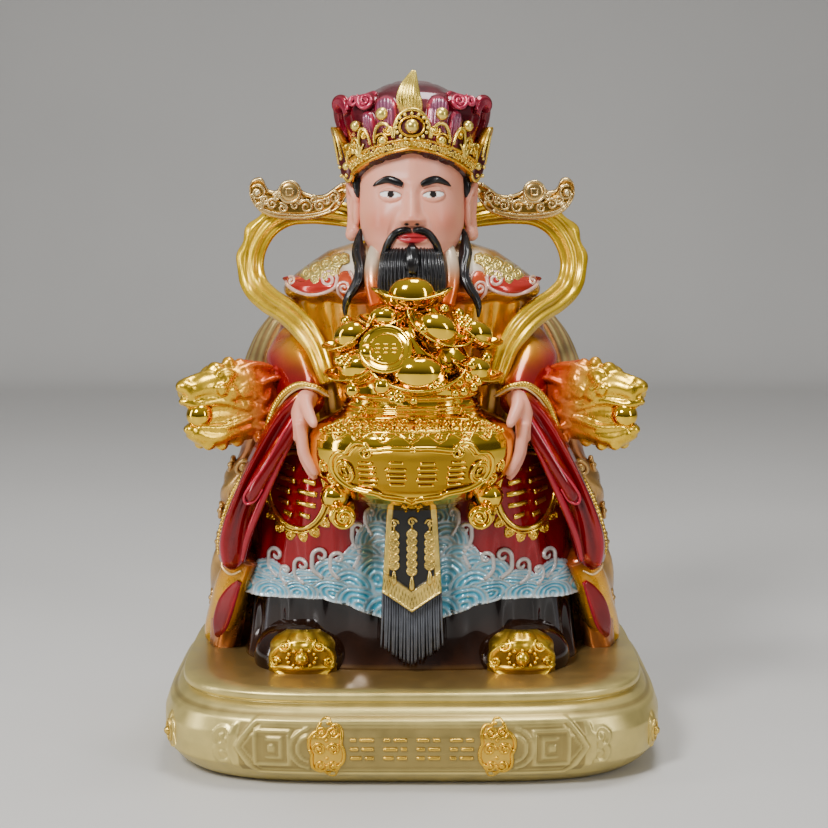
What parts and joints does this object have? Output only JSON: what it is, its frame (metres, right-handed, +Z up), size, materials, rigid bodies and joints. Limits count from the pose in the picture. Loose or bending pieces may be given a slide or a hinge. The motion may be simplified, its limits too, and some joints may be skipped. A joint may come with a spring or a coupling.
{
  "type": "caishen figure",
  "caption": "Seated wealth figure in painted cast resin that holds a plated pot of ingots, on a rounded plinth, for display on a shelf or altar.",
  "frame": {"origin": "middle of the plinth's underside", "axes": "+Z up along the figure, +X to the viewer's right, +Y to the back of the figure"},
  "size_m": [0.296, 0.2408, 0.3997],
  "materials": {
    "painted_resin": "gloss lacquer over cast resin",
    "plated_resin": "bright gold plating over cast resin",
    "gilt_resin": "satin gold paint over cast resin"
  },
  "bodies": {
    "root": {"caishen_figure": "painted_resin", "treasure_pot": "plated_resin", "hat_wing_left": "gilt_resin", "hat_wing_right": "gilt_resin"}
  },
  "joints": []
}
